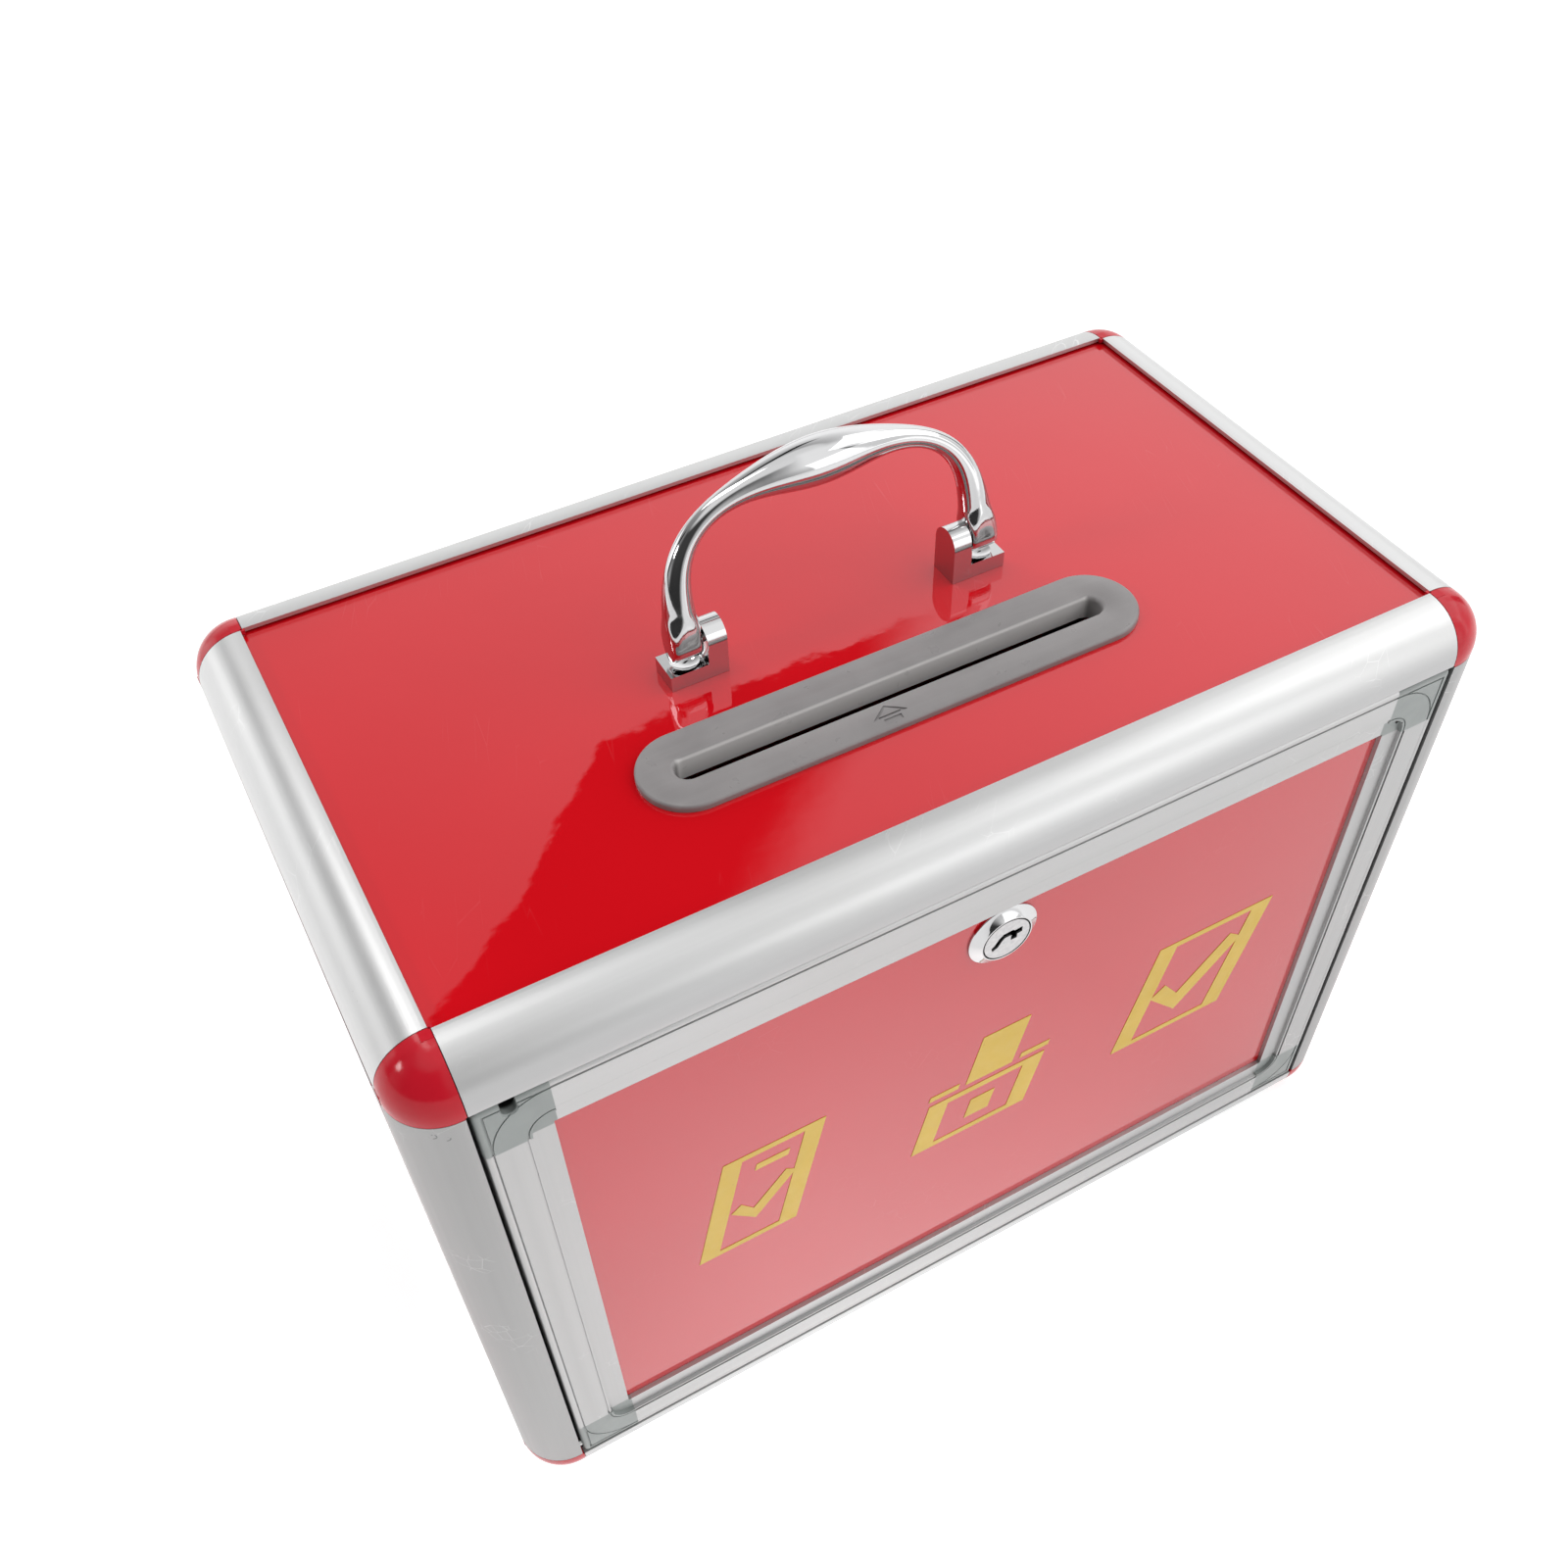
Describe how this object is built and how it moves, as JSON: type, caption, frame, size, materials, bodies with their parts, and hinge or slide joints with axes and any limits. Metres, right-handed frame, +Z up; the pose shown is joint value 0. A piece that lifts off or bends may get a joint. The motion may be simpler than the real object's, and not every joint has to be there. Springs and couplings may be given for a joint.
{
  "type": "ballot box",
  "caption": "Carry-type ballot box: aluminium-edged case with glossy red panels, slotted top with bezel, swinging bail handle, and a framed door with cam lock hinged at its lower edge.",
  "frame": {"origin": "centre of the footprint on the resting plane", "axes": "+X along the long side, to the right for someone facing the door; the door faces -Y; +Z up. At rest the door is closed, the lock is unlocked with its cam pointing sideways, and the handle leans back by 14 degrees as in the picture."},
  "size_m": [0.36, 0.204, 0.322],
  "materials": {
    "aluminium_edge": "satin anodised extrusion with fine lengthwise drawing lines",
    "corner_cap": "glossy moulded plastic",
    "red_panel": "high-gloss smooth sheet, mirror-like",
    "bezel_grey": "satin warm grey",
    "chrome": "bright polished plating",
    "connector_grey": "satin grey-green moulding",
    "yellow_vinyl": "cut vinyl film",
    "zinc_steel": "zinc-plated"
  },
  "bodies": {
    "case": {"rail_top_front": "aluminium_edge", "rail_top_back": "aluminium_edge", "rail_top_left": "aluminium_edge", "rail_top_right": "aluminium_edge", "rail_bottom_front": "aluminium_edge", "rail_bottom_back": "aluminium_edge", "rail_bottom_left": "aluminium_edge", "rail_bottom_right": "aluminium_edge", "post_front_left": "aluminium_edge", "post_front_right": "aluminium_edge", "post_back_left": "aluminium_edge", "post_back_right": "aluminium_edge", "cap_top_front_left": "corner_cap", "cap_top_front_right": "corner_cap", "cap_top_back_left": "corner_cap", "cap_top_back_right": "corner_cap", "cap_bottom_front_left": "corner_cap", "cap_bottom_front_right": "corner_cap", "cap_bottom_back_left": "corner_cap", "cap_bottom_back_right": "corner_cap", "top_panel": "red_panel", "bottom_panel": "red_panel", "left_panel": "red_panel", "right_panel": "red_panel", "back_panel": "red_panel", "slot_bezel": "bezel_grey", "handle_mount_left": "chrome", "handle_mount_right": "chrome", "mount_screws": "zinc_steel", "mount_washers": "zinc_steel"},
    "handle_body": {"handle": "chrome", "handle_pins": "zinc_steel"},
    "door_body": {"door_stile_left": "aluminium_edge", "door_stile_right": "aluminium_edge", "door_rail_top": "aluminium_edge", "door_rail_bottom": "aluminium_edge", "door_corner_top_left": "connector_grey", "door_corner_top_right": "connector_grey", "door_corner_bottom_left": "connector_grey", "door_corner_bottom_right": "connector_grey", "door_panel": "red_panel", "door_marks": "yellow_vinyl", "door_hinge_pins": "zinc_steel", "lock_housing": "chrome", "lock_nut": "zinc_steel"},
    "lock_core": {"lock_plug": "chrome", "lock_cam": "zinc_steel", "cam_screw": "zinc_steel"}
  },
  "joints": [
    {"name": "handle_swing", "type": "hinge", "parent": "case", "child": "handle_body", "pos_m": [0, 0, 0.2751], "axis": [1, 0, 0], "range_deg": [-82, 106]},
    {"name": "door_hinge", "type": "hinge", "parent": "case", "child": "door_body", "pos_m": [0, -0.099, 0.021], "axis": [1, 0, 0], "range_deg": [0, 92]},
    {"name": "lock_turn", "type": "hinge", "parent": "door_body", "child": "lock_core", "pos_m": [0, -0.09885, 0.2144], "axis": [0, 1, 0], "range_deg": [0, 90]}
  ]
}
